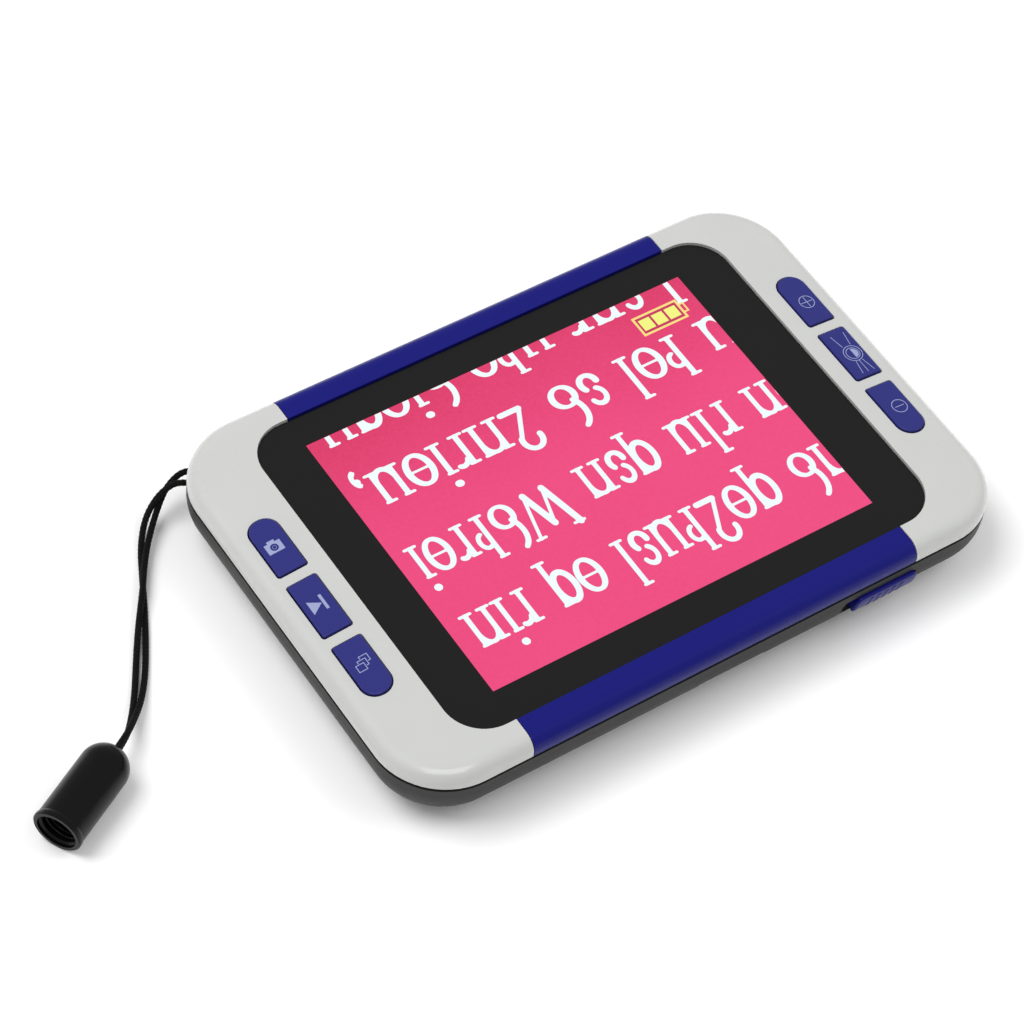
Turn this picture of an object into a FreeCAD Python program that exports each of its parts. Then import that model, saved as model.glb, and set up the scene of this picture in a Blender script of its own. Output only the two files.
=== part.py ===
import FreeCAD, Part
import math
import os

import Sketcher
from FreeCAD import Placement, Rotation, Vector

# A hand-held electronic magnifier for low vision. A 5-inch screen sits in the middle of the front
# and three keys sit under each thumb. The camera looks out of the back, a power slider sits in the
# front edge, and a short lanyard hangs from the back left corner.
# The frame: +X runs along the long side, to the viewer's right, +Y runs away from the viewer and
# +Z runs up out of the screen. The origin is the middle of the case, at the soles of the feet.

# Millimetres and degrees. "Low" and "top" are heights above the soles of the feet.
SIZES = {
    # case
    "body_length": 160.6,
    "body_width": 107.7,
    "corner_radius": 17.0,
    "back_low": 0.6,
    "back_round": 11.0,
    "rear_top": 14.05,
    "parting_gap": 0.9,
    "skirt_inset": 1.5,
    "wall": 2.6,
    "back_thick": 2.2,
    "crest_top": 19.7,
    "ceiling_low": 16.6,
    "rim_round": 3.6,
    "grip_start": 61.5,
    "grip_blend": 60.0,
    "grip_tilt": 5.5,
    "trim_half": 51.1,
    "trim_thick": 1.4,
    "seam": 0.22,
    # screen
    "lens_length": 126.4,
    "lens_width": 92.7,
    "lens_corner": 9.5,
    "lens_top": 19.0,
    "lens_thick": 1.2,
    "gasket_thick": 0.2,
    "sight_length": 104.6,
    "sight_width": 79.2,
    "cell_length": 113.0,
    "cell_width": 84.0,
    "cell_thick": 1.6,
    "backlight_length": 117.6,
    "backlight_width": 88.4,
    "backlight_thick": 3.9,
    "ribbon_thick": 0.2,
    # keys
    "key_centre": 71.73,
    "key_mid": -0.4,
    "key_width": 7.1,
    "key_length": 15.2,
    "key_pitch": 18.5,
    "key_proud": 0.5,
    "key_gap": 0.36,
    "key_end_round": 3.42,
    "key_inner_round": 0.45,
    "key_edge_round": 0.3,
    "key_roof": 1.7,
    "key_float": 0.05,
    "flange_rim": 0.7,
    "flange_thick": 0.9,
    "stem_half": 1.7,
    "stem_round": 1.6,
    "stem_low": 3.4,
    "pad_low": 5.5,
    "pad_thick": 0.6,
    "pad_width": 9.0,
    "pad_length": 57.0,
    "dome_radius": 2.6,
    "dome_top_radius": 1.6,
    "key_board_thick": 1.2,
    "key_board_width": 9.6,
    "key_board_length": 67.0,
    "key_screw_reach": 31.2,
    "key_room_depth": 9.0,
    "key_room_gap": 0.6,
    # screws
    "corner_screw_x": 64.0,
    "corner_screw_y": 37.0,
    "side_screw_x": 62.3,
    "boss_radius": 3.0,
    "boss_meet": 9.0,
    "screw_head_radius": 2.25,
    "screw_head_low": 2.2,
    "screw_head_thick": 1.8,
    "screw_radius": 1.25,
    "screw_top": 13.0,
    # feet
    "foot_radius": 4.5,
    "foot_thick": 1.2,
    "foot_x": 53.0,
    "foot_y": 33.0,
    # boards and battery
    "board_low": 8.2,
    "board_thick": 1.2,
    "board_left": -30.0,
    "board_right": 57.0,
    "board_front": -48.2,
    "board_back": 38.0,
    "small_screw_radius": 0.8,
    "small_head_radius": 1.8,
    "small_head_thick": 1.3,
    "battery_left": -57.0,
    "battery_front": -31.0,
    "battery_length": 43.0,
    "battery_width": 62.0,
    "battery_low": 3.2,
    "battery_thick": 4.8,
    "buzzer_x": 42.0,
    "buzzer_y": 18.0,
    # camera
    "camera_x": 8.0,
    "camera_y": 12.0,
    "camera_window_length": 46.0,
    "camera_window_width": 15.0,
    "camera_window_low": 0.9,
    "camera_window_thick": 1.0,
    "camera_board_low": 6.6,
    "led_board_low": 3.3,
    "led_reach": 12.0,
    "led_pitch": 5.0,
    # power slider
    "knob_left": 35.2,
    "knob_length": 16.8,
    "knob_travel": 3.3,
    "knob_proud": 0.9,
    "knob_high_angle": -1.5,
    "knob_low_angle": 32.2,
    # ports
    "port_left": -6.7,
    "port_length": 18.7,
    "port_low": 3.4,
    "port_top": 8.2,
    "port_face": -50.9,
    # lanyard
    "lanyard_angle": 127.0,
    "lanyard_high": 9.0,
    "post_reach": 13.4,
    "post_radius": 1.2,
    "cord_radius": 0.7,
    "bight_radius": 1.95,
    "cap_mouth_x": -144.15,
    "cap_mouth_y": -14.7,
    "cap_turn": 28.5,
    "cap_length": 24.0,
    "cap_radius": 5.65,
    "cap_lip_radius": 5.85,
    "cap_lip_length": 1.0,
    "cap_mouth_radius": 4.75,
    "cap_bore_radius": 4.3,
    "cap_bore_length": 13.0,
    "cap_chamber_radius": 3.4,
    "cap_chamber_end": 19.5,
    "cap_hole_radius": 1.6,
    "knot_radius": 2.3,
}

# The two strands of the lanyard from the mouth of its recess to the cap, chosen by hand. Each
# starts with its straight run out of the recess, which LEAD gives, and crosses the other twice.
LEAD_A = 5.3
LEAD_B = 5.3
STRAND_A = [
    (-78.7, 52.8, 6.1),
    (-84.1, 48.5, 3.4),
    (-88.8, 43.5, 2.2),
    (-92.8, 38.2, 2.35),
    (-96.8, 31.9, 2.5),
    (-101.5, 25.5, 1.7),
    (-106.2, 18.3, 0.9),
    (-110.8, 10.8, 0.9),
    (-115.4, 4.2, 2.2),
    (-120.3, -1.7, 4.9),
]
STRAND_B = [
    (-81.2, 51.0, 7.3),
    (-85.9, 49.6, 3.1),
    (-90.2, 44.4, 1.0),
    (-94.0, 37.0, 0.75),
    (-98.0, 28.9, 0.75),
    (-102.3, 20.9, 0.75),
    (-106.6, 13.6, 0.8),
    (-110.9, 7.7, 1.8),
    (-115.2, 3.1, 3.8),
    (-120.2, -1.7, 6.5),
]

doc = FreeCAD.newDocument("magnifier")
sheet = doc.addObject("Spreadsheet::Sheet", "Sizes")
for row, (alias, number) in enumerate(SIZES.items(), start=1):
    sheet.set(f"A{row}", alias)
    sheet.set(f"B{row}", str(number))
    sheet.setAlias(f"B{row}", alias)
doc.recompute()

nodes = {}


class Amount:
    """A length or an angle, with the formula over the sheet's cells that gives it."""

    def __init__(self, value, formula):
        self.value = value
        self.formula = formula

    def __add__(self, other):
        other = amount(other)
        return Amount(self.value + other.value, f"({self.formula} + {other.formula})")

    def __sub__(self, other):
        other = amount(other)
        return Amount(self.value - other.value, f"({self.formula} - {other.formula})")

    def __rsub__(self, other):
        return amount(other) - self

    def __mul__(self, other):
        other = amount(other)
        return Amount(self.value * other.value, f"({self.formula} * {other.formula})")

    def __truediv__(self, other):
        other = amount(other)
        return Amount(self.value / other.value, f"({self.formula} / {other.formula})")

    def __neg__(self):
        return Amount(-self.value, f"(-{self.formula})")

    __radd__ = __add__
    __rmul__ = __mul__


class Cells:
    """The sheet's cells, read by their aliases."""

    def __getattr__(self, alias):
        return Amount(float(sheet.get(alias)), f"Sizes.{alias}")


def amount(number):
    """Gives a plain number the form of an Amount."""
    if isinstance(number, Amount):
        return number
    return Amount(float(number), f"({float(number)})")


size = Cells()


def bind(thing, name, number):
    """Ties one property of an object to the sheet."""
    thing.setExpression(name, amount(number).formula)


def place(thing, x=0, y=0, z=0, axis=None, angle=0):
    """Puts an object at a place that follows the sheet, turned about an axis if one is given."""
    if axis is not None:
        thing.Placement = Placement(Vector(), Rotation(axis, amount(angle).value))
    for name, number in zip("xyz", (x, y, z)):
        bind(thing, f"Placement.Base.{name}", number)
    return thing


def box(name, x, y, z, length, width, height):
    """A box with its low corner at x, y, z."""
    thing = doc.addObject("Part::Box", name)
    bind(thing, "Length", length)
    bind(thing, "Width", width)
    bind(thing, "Height", height)
    return place(thing, x, y, z)


def cylinder(name, radius, height, x=0, y=0, z=0, axis=None, angle=0):
    """An upright cylinder standing on x, y, z, or one turned about an axis there."""
    thing = doc.addObject("Part::Cylinder", name)
    bind(thing, "Radius", radius)
    bind(thing, "Height", height)
    return place(thing, x, y, z, axis, angle)


def cone(name, low_radius, top_radius, height, x=0, y=0, z=0):
    """An upright cone standing on x, y, z."""
    thing = doc.addObject("Part::Cone", name)
    bind(thing, "Radius1", low_radius)
    bind(thing, "Radius2", top_radius)
    bind(thing, "Height", height)
    return place(thing, x, y, z)


def fuse(name, things):
    """One solid from several that touch or overlap."""
    thing = doc.addObject("Part::MultiFuse", name)
    thing.Shapes = things
    return thing


def cut(name, base, tools):
    """The base with every tool taken away."""
    thing = doc.addObject("Part::Cut", name)
    thing.Base = base
    thing.Tool = tools[0] if len(tools) == 1 else fuse(f"{name}_tools", tools)
    return thing


def common(name, first, second):
    """The space that two shapes share."""
    thing = doc.addObject("Part::Common", name)
    thing.Base = first
    thing.Tool = second
    return thing


def group(name, things):
    """Identical pieces kept together as separate solids."""
    thing = doc.addObject("Part::Compound", name)
    thing.Links = things
    return thing


def rounded(name, base, pick, radius):
    """The base with the edges that pick chooses rounded."""
    doc.recompute()
    thing = doc.addObject("Part::Fillet", name)
    thing.Base = base
    reach = amount(radius).value
    thing.Edges = [(number, reach, reach) for number in pick(base.Shape)]
    return thing


def node(label, thing):
    """Names a finished sub-part."""
    thing.Label = label
    nodes[label] = thing
    return thing


def upright(face):
    """Whether a face stands parallel to Z at its middle."""
    low_u, high_u, low_v, high_v = face.ParameterRange
    return abs(face.normalAt((low_u + high_u) / 2, (low_v + high_v) / 2).z) < 1e-6


def middle(edge):
    """The point half way along an edge."""
    return edge.valueAt((edge.FirstParameter + edge.LastParameter) / 2)


def rim_edges(shape, keep_away):
    """The edges between the upright sides and what closes them, except at the height keep_away."""
    numbers = []
    for number, edge in enumerate(shape.Edges, start=1):
        sides = [upright(face) for face in shape.ancestorsOfType(edge, Part.Face)]
        if sides.count(True) == 1 and abs(middle(edge).z - keep_away) > 0.05:
            numbers.append(number)
    return numbers


def origin_plane(body, role):
    """One of a body's own origin planes."""
    return next(plane for plane in body.Origin.OriginFeatures if plane.Role == role)


def outline(body, name, length, width, radii, x=0, y=0, z=0):
    """A sketch of a rectangle with rounded corners, centred on x, y at the height z.

    radii holds the corner radii, from the front right corner anticlockwise.
    """
    sketch = body.newObject("Sketcher::SketchObject", name)
    sketch.AttachmentSupport = [(origin_plane(body, "XY_Plane"), "")]
    sketch.MapMode = "FlatFace"
    for axis, number in zip("xyz", (x, y, z)):
        bind(sketch, f"AttachmentOffset.Base.{axis}", number)
    half_x = amount(length) / 2
    half_y = amount(width) / 2
    quarter = math.pi / 2
    corners = ((1, -1), (1, 1), (-1, 1), (-1, -1))
    for turn, (side_x, side_y) in enumerate(corners):
        reach = amount(radii[turn]).value
        centre = Vector(side_x * (half_x.value - reach), side_y * (half_y.value - reach), 0)
        circle = Part.Circle(centre, Vector(0, 0, 1), reach)
        start = (turn - 1) * quarter
        sketch.addGeometry(Part.ArcOfCircle(circle, start, start + quarter), False)
    arcs = list(sketch.Geometry)
    for turn in range(4):
        line = Part.LineSegment(arcs[turn].EndPoint, arcs[(turn + 1) % 4].StartPoint)
        sketch.addGeometry(line, False)
    right, back, left, front = range(4, 8)
    for turn, line in enumerate((right, back, left, front)):
        sketch.addConstraint(Sketcher.Constraint("Tangent", turn, 2, line, 1))
        sketch.addConstraint(Sketcher.Constraint("Tangent", line, 2, (turn + 1) % 4, 1))
        direction = "Vertical" if line in (right, left) else "Horizontal"
        sketch.addConstraint(Sketcher.Constraint(direction, line))
    reaches = (
        ("DistanceX", (-1, 1, right, 1), half_x),
        ("DistanceX", (left, 1, -1, 1), half_x),
        ("DistanceY", (-1, 1, back, 1), half_y),
        ("DistanceY", (front, 1, -1, 1), half_y),
    )
    for kind, points, reach in reaches:
        index = sketch.addConstraint(Sketcher.Constraint(kind, *points, reach.value))
        bind(sketch, f"Constraints[{index}]", reach)
    for turn, radius in enumerate(radii):
        index = sketch.addConstraint(Sketcher.Constraint("Radius", turn, amount(radius).value))
        bind(sketch, f"Constraints[{index}]", radius)
    return sketch


def pad(body, sketch, height, down=False):
    """Raises a sketch into a solid of the body."""
    feature = body.newObject("PartDesign::Pad", f"{sketch.Name}_pad")
    feature.Profile = sketch
    feature.Reversed = down
    bind(feature, "Length", height)
    sketch.Visibility = False
    return feature


def plate(name, length, width, radii, z, height, x=0, y=0):
    """A body that is one rounded plate, centred on x, y with its underside at z."""
    if not isinstance(radii, tuple):
        radii = (radii,) * 4
    body = doc.addObject("PartDesign::Body", name)
    pad(body, outline(body, f"{name}_outline", length, width, radii, x, y, z), height)
    return body


def corners_of(x, y):
    """The four places that mirror x, y about both axes."""
    return [(side_x * x, side_y * y) for side_x in (-1, 1) for side_y in (-1, 1)]


# The case's outer form


def case_slab(name, inset, low, top):
    """The case's rounded plan, drawn in by an inset, between two heights."""
    return plate(
        name,
        size.body_length - 2 * inset,
        size.body_width - 2 * inset,
        size.corner_radius - inset,
        low,
        amount(top) - low,
    )


def grip_slopes(name, drop):
    """The space over both grips, whose tops fall away outwards in one smooth bend."""
    reach = size.body_length.value / 2 + 5
    over = size.crest_top.value + 5
    level = size.crest_top.value - drop
    bend = size.grip_blend.value
    tilt = math.radians(size.grip_tilt.value)
    start = Vector(size.grip_start.value, 0, level)
    half_way = start + Vector(bend * math.sin(tilt / 2), 0, -bend * (1 - math.cos(tilt / 2)))
    end = start + Vector(bend * math.sin(tilt), 0, -bend * (1 - math.cos(tilt)))
    edge = Vector(reach, 0, end.z - (reach - end.x) * math.tan(tilt))
    corners = [end, edge, Vector(reach, 0, over), Vector(start.x, 0, over), start]
    edges = [Part.Arc(start, half_way, end).toShape()]
    edges += [Part.makeLine(here, there) for here, there in zip(corners, corners[1:])]
    depth = size.body_width.value
    space = Part.Face(Part.Wire(edges)).extrude(Vector(0, 2 * depth, 0))
    space.translate(Vector(0, -depth, 0))
    other = space.mirror(Vector(), Vector(1, 0, 0))
    thing = doc.addObject("Part::Feature", name)
    thing.Shape = Part.makeCompound([space, other])
    return thing


def front_form(name, inset, low):
    """The front's crowned form, drawn in by an inset on every side and on top."""
    depth = amount(inset).value
    slab = case_slab(f"{name}_slab", inset, low, size.crest_top - inset)
    shaped = cut(f"{name}_shaped", slab, [grip_slopes(f"{name}_slopes", depth)])
    keep = amount(low).value
    return rounded(name, shaped, lambda shape: rim_edges(shape, keep), size.rim_round - inset)


def rear_form(name, inset, low):
    """The back's form: a slab whose lower rim is rounded, drawn in by an inset."""
    slab = case_slab(f"{name}_slab", inset, low, size.rear_top)
    top = size.rear_top.value
    return rounded(name, slab, lambda shape: rim_edges(shape, top), size.back_round - inset)


# The keys, each built flat and then tipped onto its grip


def on_grip(thing, side):
    """Tips a flat key part onto the grip on one side: -1 is the left one and 1 the right one."""
    tilt = math.radians(size.grip_tilt.value)
    bend = size.grip_blend.value
    slope_start = size.grip_start.value + bend * math.sin(tilt)
    fall = bend * (1 - math.cos(tilt)) + (size.key_centre.value - slope_start) * math.tan(tilt)
    at = Vector(side * size.key_centre.value, size.key_mid.value, size.crest_top.value - fall)
    thing.Placement = Placement(at, Rotation(Vector(0, 1, 0), side * size.grip_tilt.value))
    return thing


def side_name(side):
    return "left" if side < 0 else "right"


def key_radii(row, out=0):
    """The corner radii of a key whose outline stands out by some amount.

    The outer end of the first and of the last key is a half round.
    """
    near = size.key_end_round if row == -1 else size.key_inner_round
    far = size.key_end_round if row == 1 else size.key_inner_round
    return (near + out, far + out, far + out, near + out)


def key_cap(name, side, row):
    """One key: its cap, the flange that keeps it in and the stem that presses the dome."""
    y = row * size.key_pitch
    rim = size.flange_rim
    flange_top = -(size.key_roof + size.key_float)
    body = doc.addObject("PartDesign::Body", name)
    cap = outline(
        body, f"{name}_cap", size.key_width, size.key_length, key_radii(row), 0, y, flange_top
    )
    pad(body, cap, size.key_proud - flange_top)
    doc.recompute()
    top = size.key_proud.value
    picked = [n for n, edge in enumerate(body.Shape.Edges, 1) if abs(middle(edge).z - top) < 1e-6]
    blank = body.Tip
    edge = body.newObject("PartDesign::Fillet", f"{name}_edge")
    edge.Base = (blank, [f"Edge{number}" for number in picked])
    bind(edge, "Radius", size.key_edge_round)
    body.Tip = edge
    doc.recompute()
    wide = size.key_width + 2 * rim
    long = size.key_length + 2 * rim
    flange = outline(body, f"{name}_flange", wide, long, key_radii(row, rim), 0, y, flange_top)
    pad(body, flange, size.flange_thick, down=True)
    stem = outline(
        body,
        f"{name}_stem",
        2 * size.stem_half,
        2 * size.stem_half,
        (size.stem_round,) * 4,
        0,
        y,
        flange_top,
    )
    pad(body, stem, size.stem_low + flange_top, down=True)
    return on_grip(body, side)


def key_openings(side):
    """The space that the keys of one grip, and their pad, take out of the front shell."""
    name = side_name(side)
    gap = size.key_gap
    depth = size.key_room_depth
    room_width = size.key_board_width + size.key_room_gap
    room_length = size.pad_length + size.key_room_gap
    room = plate(f"{name}_key_room", room_width, room_length, 1.0, -depth, depth - size.key_roof)
    openings = [on_grip(room, side)]
    for row in (-1, 0, 1):
        hole = plate(
            f"{name}_key_hole_{row + 2}",
            size.key_width + 2 * gap,
            size.key_length + 2 * gap,
            key_radii(row, gap),
            -depth,
            2 * depth,
            0,
            row * size.key_pitch,
        )
        openings.append(on_grip(hole, side))
    return openings


def key_screw_places():
    return [-size.key_screw_reach, size.key_screw_reach]


def key_bosses(side):
    """The two bosses under one grip that a key board is screwed to."""
    name = side_name(side)
    height = size.pad_low - size.key_roof + 0.5
    posts = [
        cylinder(f"{name}_key_boss_{n}", 2.2, height, 0, y, -size.pad_low)
        for n, y in enumerate(key_screw_places(), 1)
    ]
    return on_grip(group(f"{name}_key_bosses", posts), side)


def key_pilots(side, name, radius, low, height):
    """Upright cylinders at the two screws of a key board, tipped onto the grip with it."""
    name = f"{side_name(side)}_{name}"
    rods = [
        cylinder(f"{name}_{n}", radius, height, 0, y, low)
        for n, y in enumerate(key_screw_places(), 1)
    ]
    return on_grip(group(name, rods), side)


# The front


def front_shell():
    """The front half of the case, with the beds of the screen, the trims and the keys."""
    form = front_form("front_form", 0, front_low)
    skirt = case_slab("front_skirt", size.skirt_inset, size.rear_top, size.ceiling_low)
    hollow = case_slab("front_hollow", size.wall, size.rear_top - 1, size.ceiling_low)
    bed_form = front_form("trim_bed_form", size.trim_thick, size.rear_top - 1)
    beds = []
    for side in (-1, 1):
        block = box(
            f"trim_bed_{side + 2}",
            -size.trim_half - size.seam,
            size.lens_width / 2 if side > 0 else -size.body_width,
            size.rear_top - 1,
            2 * (size.trim_half + size.seam),
            size.body_width - size.lens_width / 2,
            10,
        )
        beds.append(cut(f"trim_bed_space_{side + 2}", block, [bed_form]))
    seat_low = size.lens_top - size.lens_thick - size.gasket_thick
    seat = plate(
        "lens_seat",
        size.lens_length + 2 * size.seam,
        size.lens_width + 2 * size.seam,
        size.lens_corner + size.seam,
        seat_low,
        5,
    )
    sight = plate("sight", size.sight_length, size.sight_width, 1.5, size.ceiling_low - 1, 5)
    bosses = []
    pilots = []
    for n, (x, y) in enumerate(case_screw_places(), 1):
        height = size.ceiling_low - size.boss_meet + 0.5
        bosses.append(cylinder(f"front_boss_{n}", size.boss_radius, height, x, y, size.boss_meet))
        depth = size.screw_top - size.boss_meet + 1
        pilots.append(cylinder(f"front_pilot_{n}", size.screw_radius, depth, x, y, size.boss_meet))
    rooms = key_openings(-1) + key_openings(1)
    shell = cut("front_open", fuse("front_solid", [form, skirt]), [hollow, seat, sight] + beds + rooms)
    key_holes = [
        key_pilots(side, "key_pilot", size.small_screw_radius, -size.pad_low, 2.5)
        for side in (-1, 1)
    ]
    shell = fuse("front_with_bosses", [shell, key_bosses(-1), key_bosses(1)] + bosses)
    node("front_shell", cut("front_shell_cut", shell, pilots + key_holes))


def trims():
    """The two coloured strips that wrap over the long edges between the grips."""
    form = front_form("trim_form", 0, front_low)
    inner = front_form("trim_inner", size.trim_thick, size.rear_top)
    start = size.lens_width / 2 + size.seam + 0.05
    for name, side in (("trim_front", -1), ("trim_rear", 1)):
        block = box(
            f"{name}_block",
            -size.trim_half,
            start if side > 0 else -start - 20,
            front_low,
            2 * size.trim_half,
            20,
            10,
        )
        strip = common(f"{name}_strip", form, block)
        node(name, cut(f"{name}_cut", strip, [inner]))


def screen():
    """The window, its gasket, the display cell, its backlight and its ribbon."""
    lens_low = size.lens_top - size.lens_thick
    corner = size.lens_corner
    lens = plate("lens", size.lens_length, size.lens_width, corner, lens_low, size.lens_thick)
    node("display_lens", lens)
    gasket_low = lens_low - size.gasket_thick
    ring = plate("ring", size.lens_length, size.lens_width, corner, gasket_low, size.gasket_thick)
    hole = plate("ring_hole", size.sight_length, size.sight_width, 1.5, gasket_low - 1, 3)
    node("lens_gasket", cut("ring_cut", ring, [hole]))
    cell_low = size.ceiling_low - size.cell_thick
    cell = plate("cell", size.cell_length, size.cell_width, 0.5, cell_low, size.cell_thick)
    node("display_cell", cell)
    light_low = cell_low - size.backlight_thick
    light = plate(
        "light",
        size.backlight_length,
        size.backlight_width,
        1.0,
        light_low,
        size.backlight_thick,
    )
    node("display_backlight", light)
    board_top = size.board_low + size.board_thick
    thin = size.ribbon_thick
    half = 15
    start = size.cell_width / 2
    fold = size.backlight_width / 2 + 1
    ribbon_top = cell_low + 0.8
    strips = [
        box("ribbon_top", -half, start, ribbon_top - thin, 2 * half, fold - start, thin),
        box("ribbon_fold", -half, fold - thin, board_top, 2 * half, thin, ribbon_top - board_top),
        box("ribbon_low", -half, 34, board_top, 2 * half, fold - 34, thin),
    ]
    node("display_ribbon", fuse("ribbon", strips))
    node("ribbon_connector", box("ribbon_plug", -half, 30, board_top, 2 * half, 4, 1.0))


def keys():
    """Six keys, and under each three a rubber pad, a key board, its screws and its ribbon."""
    left = ("mode_key", "playback_key", "snapshot_key")
    right = ("zoom_out_key", "light_key", "zoom_in_key")
    for side, names in ((-1, left), (1, right)):
        for row, name in zip((-1, 0, 1), names):
            node(name, key_cap(name, side, row))
    screws = []
    for side in (-1, 1):
        name = side_name(side)
        sheet_part = plate(
            f"{name}_pad_sheet",
            size.pad_width,
            size.pad_length,
            1.0,
            -size.pad_low,
            size.pad_thick,
        )
        dome_low = size.pad_thick - size.pad_low
        rise = size.pad_low - size.pad_thick - size.stem_low
        domes = [
            cone(
                f"{name}_dome_{row + 2}",
                size.dome_radius,
                size.dome_top_radius,
                rise,
                0,
                row * size.key_pitch,
                dome_low,
            )
            for row in (-1, 0, 1)
        ]
        node(f"key_pad_{name}", on_grip(fuse(f"{name}_pad", [sheet_part] + domes), side))
        board_low = -size.pad_low - size.key_board_thick
        board = plate(
            f"{name}_board_sheet",
            size.key_board_width,
            size.key_board_length,
            1.0,
            board_low,
            size.key_board_thick,
        )
        holes = [
            cylinder(f"{name}_board_hole_{n}", size.small_screw_radius + 0.1, 3, 0, y, board_low - 1)
            for n, y in enumerate(key_screw_places(), 1)
        ]
        node(f"key_board_{name}", on_grip(cut(f"{name}_board_cut", board, holes), side))
        for n, y in enumerate(key_screw_places(), 1):
            head_low = board_low - size.small_head_thick
            head = cylinder(
                f"{name}_screw_head_{n}",
                size.small_head_radius,
                size.small_head_thick,
                0,
                y,
                head_low,
            )
            shank = cylinder(
                f"{name}_screw_shank_{n}",
                size.small_screw_radius,
                size.small_head_thick + size.key_board_thick + 2.2,
                0,
                y,
                head_low,
            )
            screws.append(on_grip(fuse(f"{name}_screw_{n}", [head, shank]), side))
    node("key_board_screws", group("key_screws", screws))
    board_top = size.board_low + size.board_thick
    for side, inner_end in ((-1, 27.0), (1, 52.0)):
        name = side_name(side)
        fold = 66.0
        thin = size.ribbon_thick
        top = 12.4
        parts = [
            (fold - thin, 69.0, top - thin, thin),
            (fold - thin, fold, board_top, top - board_top),
            (inner_end, fold, board_top, thin),
        ]
        strips = []
        for n, (near, far, low, height) in enumerate(parts, 1):
            x = near if side > 0 else -far
            strips.append(box(f"{name}_ribbon_{n}", x, 8, low, far - near, 6, height))
        node(f"key_ribbon_{name}", fuse(f"{name}_ribbon", strips))


# The back


def case_screw_places():
    """Where the six screws hold the two halves of the case together."""
    places = corners_of(size.corner_screw_x, size.corner_screw_y)
    return places + [(side * size.side_screw_x, 0) for side in (-1, 1)]


def foot_places():
    return corners_of(size.foot_x, size.foot_y)


def board_screw_places():
    return [(-26, -44), (53, -38), (53, 34), (-26, 34)]


def led_places():
    """Two lamps on each side of the camera."""
    near = size.led_reach
    far = size.led_reach + size.led_pitch
    return [size.camera_x + sign * reach for sign in (-1, 1) for reach in (near, far)]


def edge_sector(name, inner, outer, high_angle, low_angle, x, length):
    """A part of a ring about the axis of the front edge's rounding.

    The angles are measured down from the level, on the side away from the case.
    """
    axis_y = size.back_round - size.body_width / 2
    axis_z = size.back_low + size.back_round
    start = math.radians(amount(high_angle).value)
    level = Vector(0, -math.cos(start), -math.sin(start))
    below = Vector(0, math.sin(start), -math.cos(start))
    rings = []
    for label, radius in (("outer", outer), ("inner", inner)):
        wedge = doc.addObject("Part::Cylinder", f"{name}_{label}")
        bind(wedge, "Radius", radius)
        bind(wedge, "Height", length)
        if label == "outer":
            bind(wedge, "Angle", amount(low_angle) - high_angle)
        wedge.Placement = Placement(Vector(), Rotation(level, below, Vector(1, 0, 0)))
        rings.append(place(wedge, x, axis_y, axis_z))
    return cut(name, rings[0], rings[1:])


def outer_edges(shape):
    """The edges round the face of an edge sector that lies furthest out."""
    reach = max(face.Surface.Radius for face in shape.Faces if hasattr(face.Surface, "Radius"))
    numbers = []
    for number, edge in enumerate(shape.Edges, start=1):
        surfaces = [face.Surface for face in shape.ancestorsOfType(edge, Part.Face)]
        if any(abs(getattr(surface, "Radius", 0) - reach) < 1e-6 for surface in surfaces):
            numbers.append(number)
    return numbers


def radial_edges(shape):
    """The short straight edges that run through the thickness of an edge sector."""
    numbers = []
    for number, edge in enumerate(shape.Edges, start=1):
        if isinstance(edge.Curve, Part.Line) and abs(edge.tangentAt(edge.FirstParameter).x) < 0.5:
            numbers.append(number)
    return numbers


def at_corner(thing, x=0, y=0, z=0):
    """Turns a part so that its X runs out of the case at the lanyard's corner, and puts it there.

    x and y are measured along that direction and across it, from the corner's centre.
    """
    turn = math.radians(size.lanyard_angle.value)
    out = Vector(math.cos(turn), math.sin(turn), 0)
    across = Vector(-math.sin(turn), math.cos(turn), 0)
    centre_x = size.corner_radius - size.body_length / 2
    centre_y = size.body_width / 2 - size.corner_radius
    thing.Placement = Placement(Vector(), Rotation(Vector(0, 0, 1), size.lanyard_angle.value))
    return place(
        thing,
        centre_x + amount(x) * out.x + amount(y) * across.x,
        centre_y + amount(x) * out.y + amount(y) * across.y,
        z,
    )


def corner_box(name, near, far, half_width, low, top):
    """A box at the lanyard's corner, between two distances from the corner's centre."""
    thing = box(name, 0, 0, 0, far - near, 2 * half_width, top - low)
    return at_corner(thing, near, -half_width, low)


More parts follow.
